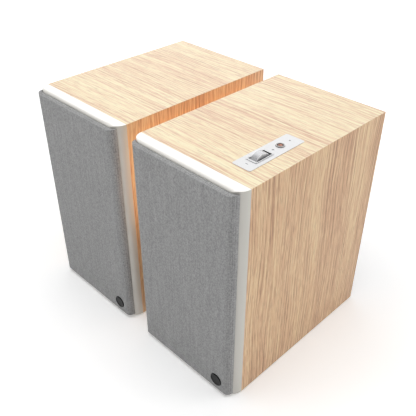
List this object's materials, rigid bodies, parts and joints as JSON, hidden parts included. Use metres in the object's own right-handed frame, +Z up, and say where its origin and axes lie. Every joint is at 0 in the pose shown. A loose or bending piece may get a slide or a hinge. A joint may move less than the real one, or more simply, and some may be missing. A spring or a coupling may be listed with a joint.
{
  "type": "desktop speaker pair",
  "caption": "Pair of box-shaped desktop speakers with wooden cabinets, white fronts, grey cloth grilles, and a volume wheel and power button on top of one.",
  "frame": {"origin": "on the desk, under the middle of the pair's box", "axes": "+Z up, the speakers face -Y, +X towards the active speaker"},
  "size_m": [0.285, 0.2202, 0.2464],
  "materials": {
    "oak": "satin veneer, pale grain",
    "white_lacquer": "matte white lacquer",
    "black_panel": "fine black texture",
    "foot_rubber": "matte rubber",
    "basket_steel": "satin black paint",
    "butyl": "satin rubber",
    "paper_cone": "pressed paper",
    "cap_paper": "smooth coated paper",
    "spider_cloth": "resin-treated cotton",
    "copper_wire": "enamelled copper",
    "ferrite": "dull grey",
    "faceplate_plastic": "fine black texture",
    "silk": "coated silk",
    "screw_steel": "black zinc",
    "port_plastic": "fine black texture",
    "frame_plastic": "moulded black",
    "grille_fabric": "heathered grey weave",
    "badge_black": "gloss black",
    "wire_pvc": "flexible PVC",
    "plate_white": "satin white",
    "wheel_aluminium": "turned and brushed",
    "part_black": "moulded black",
    "button_copper": "satin copper",
    "led_lens": "smoked lens",
    "circuit_board": "solder mask",
    "amp_metal": "textured black paint",
    "core_steel": "laminated steel",
    "clip_red": "moulded red",
    "clip_black": "moulded black"
  },
  "bodies": {
    "active_speaker": {"active_cabinet": "oak", "active_front_baffle": "white_lacquer", "active_rear_panel": "black_panel", "active_feet": "foot_rubber", "active_woofer_basket": "basket_steel", "active_woofer_surround": "butyl", "active_woofer_spider": "spider_cloth", "active_woofer_motor": "ferrite", "active_tweeter_faceplate": "faceplate_plastic", "active_tweeter_motor": "ferrite", "active_port_tube": "port_plastic", "active_wiring": "wire_pvc", "active_driver_screws": "screw_steel", "control_plate": "plate_white", "volume_encoder": "part_black", "status_led": "led_lens", "control_board": "circuit_board", "amplifier_plate": "amp_metal", "amplifier_board": "circuit_board", "transformer": "core_steel", "input_jacks": "part_black", "mains_inlet": "part_black", "outlet_housing": "part_black", "amplifier_screws": "screw_steel"},
    "passive_speaker": {"passive_cabinet": "oak", "passive_front_baffle": "white_lacquer", "passive_rear_panel": "black_panel", "passive_feet": "foot_rubber", "passive_woofer_basket": "basket_steel", "passive_woofer_surround": "butyl", "passive_woofer_spider": "spider_cloth", "passive_woofer_motor": "ferrite", "passive_tweeter_faceplate": "faceplate_plastic", "passive_tweeter_motor": "ferrite", "passive_port_tube": "port_plastic", "passive_wiring": "wire_pvc", "passive_screws": "screw_steel", "terminal_plate": "part_black", "crossover_board": "circuit_board"},
    "active_cone": {"active_woofer_cone": "paper_cone", "active_woofer_dust_cap": "cap_paper", "active_woofer_voice_coil": "copper_wire"},
    "active_dome": {"active_tweeter_dome": "silk"},
    "active_grille": {"active_grille_frame": "frame_plastic", "active_grille_cloth": "grille_fabric", "active_grille_badge": "badge_black"},
    "passive_cone": {"passive_woofer_cone": "paper_cone", "passive_woofer_dust_cap": "cap_paper", "passive_woofer_voice_coil": "copper_wire"},
    "passive_dome": {"passive_tweeter_dome": "silk"},
    "passive_grille": {"passive_grille_frame": "frame_plastic", "passive_grille_cloth": "grille_fabric", "passive_grille_badge": "badge_black"},
    "volume_wheel": {"volume_wheel": "wheel_aluminium"},
    "power_button": {"power_button": "button_copper"},
    "power_rocker": {"power_rocker": "part_black"},
    "outlet_clip_red": {"outlet_clip_red": "clip_red"},
    "outlet_clip_black": {"outlet_clip_black": "clip_black"},
    "terminal_clip_red": {"terminal_clip_red": "clip_red"},
    "terminal_clip_black": {"terminal_clip_black": "clip_black"}
  },
  "joints": [
    {"name": "speaker_spacing", "type": "slide", "parent": "active_speaker", "child": "passive_speaker", "axis": [1, 0, 0], "range_m": [-0.3, 0]},
    {"name": "active_grille_pull", "type": "slide", "parent": "active_speaker", "child": "active_grille", "axis": [0, -1, 0], "range_m": [0, 0.06]},
    {"name": "active_cone_stroke", "type": "slide", "parent": "active_speaker", "child": "active_cone", "axis": [0, -1, 0], "range_m": [-0.003, 0.003], "stiffness_N_per_m": 1500, "deforming": ["active_woofer_surround", "active_woofer_spider"]},
    {"name": "active_dome_stroke", "type": "slide", "parent": "active_speaker", "child": "active_dome", "axis": [0, -1, 0], "range_m": [-0.0003, 0.0003], "stiffness_N_per_m": 1500},
    {"name": "passive_grille_pull", "type": "slide", "parent": "passive_speaker", "child": "passive_grille", "axis": [0, -1, 0], "range_m": [0, 0.06]},
    {"name": "passive_cone_stroke", "type": "slide", "parent": "passive_speaker", "child": "passive_cone", "axis": [0, -1, 0], "range_m": [-0.003, 0.003], "stiffness_N_per_m": 1500, "deforming": ["passive_woofer_surround", "passive_woofer_spider"]},
    {"name": "passive_dome_stroke", "type": "slide", "parent": "passive_speaker", "child": "passive_dome", "axis": [0, -1, 0], "range_m": [-0.0003, 0.0003], "stiffness_N_per_m": 1500},
    {"name": "volume_turn", "type": "hinge", "parent": "active_speaker", "child": "volume_wheel", "pos_m": [0.1143, -0.0501, 0.2358], "axis": [1, 0, 0], "continuous": true},
    {"name": "power_press", "type": "slide", "parent": "active_speaker", "child": "power_button", "axis": [0, 0, -1], "range_m": [0, 0.0008], "stiffness_N_per_m": 600},
    {"name": "mains_switch", "type": "hinge", "parent": "active_speaker", "child": "power_rocker", "pos_m": [0.0895, 0.1001, 0.047], "axis": [1, 0, 0], "range_deg": [0, 16]},
    {"name": "outlet_clip_red_press", "type": "hinge", "parent": "active_speaker", "child": "outlet_clip_red", "pos_m": [0.067, 0.0996, 0.0895], "axis": [1, 0, 0], "range_deg": [0, 22], "stiffness_Nm_per_rad": 0.05},
    {"name": "outlet_clip_black_press", "type": "hinge", "parent": "active_speaker", "child": "outlet_clip_black", "pos_m": [0.086, 0.0996, 0.0895], "axis": [1, 0, 0], "range_deg": [0, 22], "stiffness_Nm_per_rad": 0.05},
    {"name": "terminal_clip_red_press", "type": "hinge", "parent": "passive_speaker", "child": "terminal_clip_red", "pos_m": [-0.086, 0.0996, 0.0805], "axis": [1, 0, 0], "range_deg": [0, 22], "stiffness_Nm_per_rad": 0.05},
    {"name": "terminal_clip_black_press", "type": "hinge", "parent": "passive_speaker", "child": "terminal_clip_black", "pos_m": [-0.067, 0.0996, 0.0805], "axis": [1, 0, 0], "range_deg": [0, 22], "stiffness_Nm_per_rad": 0.05}
  ]
}
